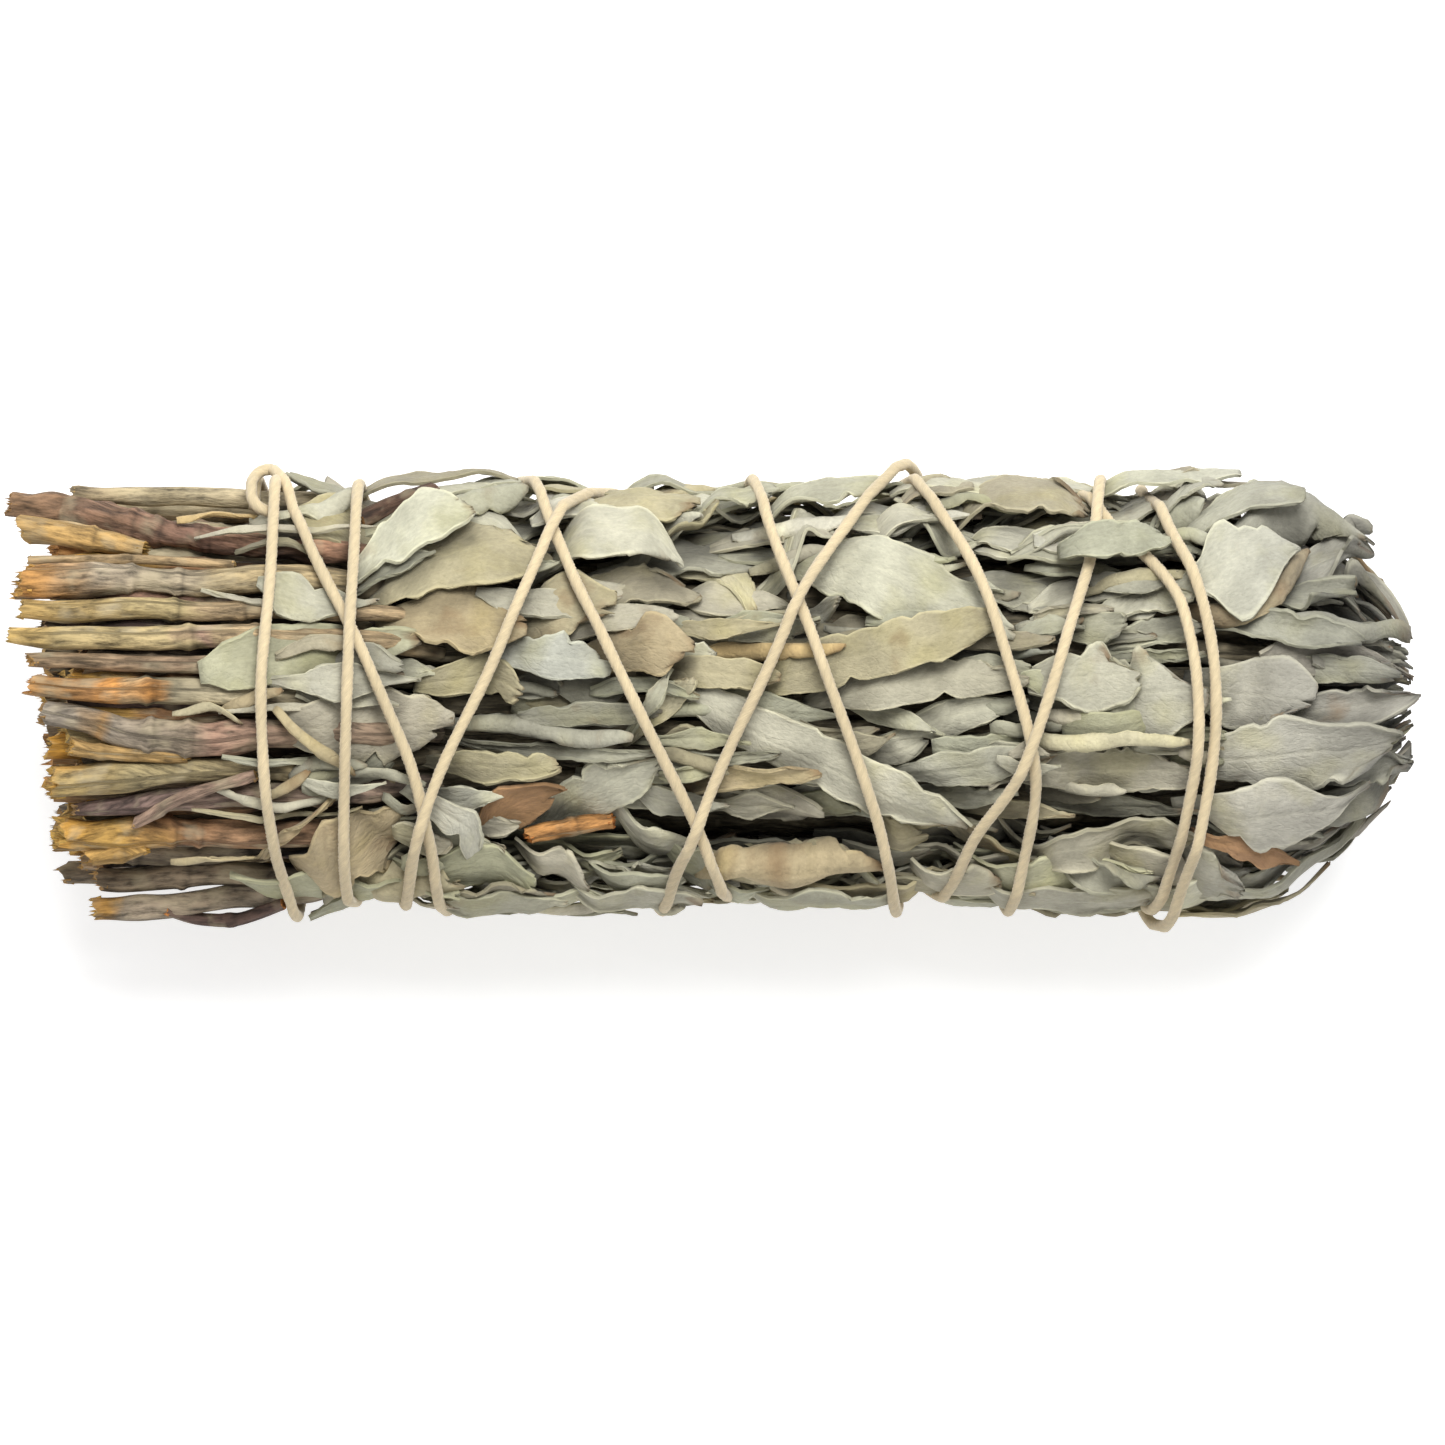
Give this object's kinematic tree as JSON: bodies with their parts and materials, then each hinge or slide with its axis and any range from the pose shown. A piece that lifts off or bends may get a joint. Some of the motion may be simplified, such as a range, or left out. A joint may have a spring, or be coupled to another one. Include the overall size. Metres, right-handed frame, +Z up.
{
  "type": "sage bunch",
  "caption": "Dried white sage bundle lying on its side: cut stems at one end, packed leaves in a rounded tip at the other, bound with criss-cross cotton twine.",
  "frame": {"origin": "middle of the bundle's length and width, on the surface it lies on", "axes": "+X along the bundle from the cut stems to the leaf tips, +Y across it, +Z up from the surface it lies on"},
  "size_m": [0.1247, 0.0421, 0.0383],
  "materials": {
    "dried_sage": "matte",
    "cotton_twine": "matte"
  },
  "bodies": {
    "root": {"binding_twine": "cotton_twine", "leafy_stem_01": "dried_sage", "leafy_stem_02": "dried_sage", "leafy_stem_03": "dried_sage", "leafy_stem_04": "dried_sage", "leafy_stem_05": "dried_sage", "leafy_stem_06": "dried_sage", "leafy_stem_07": "dried_sage", "leafy_stem_08": "dried_sage", "leafy_stem_09": "dried_sage", "leafy_stem_10": "dried_sage", "leafy_stem_11": "dried_sage", "leafy_stem_12": "dried_sage", "leafy_stem_13": "dried_sage", "leafy_stem_14": "dried_sage", "leafy_stem_15": "dried_sage", "leafy_stem_16": "dried_sage", "leafy_stem_17": "dried_sage", "leafy_stem_18": "dried_sage", "leafy_stem_19": "dried_sage", "leafy_stem_20": "dried_sage", "leafy_stem_21": "dried_sage", "leafy_stem_22": "dried_sage", "leafy_stem_23": "dried_sage", "leafy_stem_24": "dried_sage", "leafy_stem_25": "dried_sage", "leafy_stem_26": "dried_sage", "leafy_stem_27": "dried_sage", "leafy_stem_28": "dried_sage", "leafy_stem_29": "dried_sage", "leafy_stem_30": "dried_sage", "leafy_stem_31": "dried_sage", "leafy_stem_32": "dried_sage", "leafy_stem_33": "dried_sage", "leafy_stem_34": "dried_sage", "leafy_stem_35": "dried_sage", "leafy_stem_36": "dried_sage"}
  },
  "joints": []
}
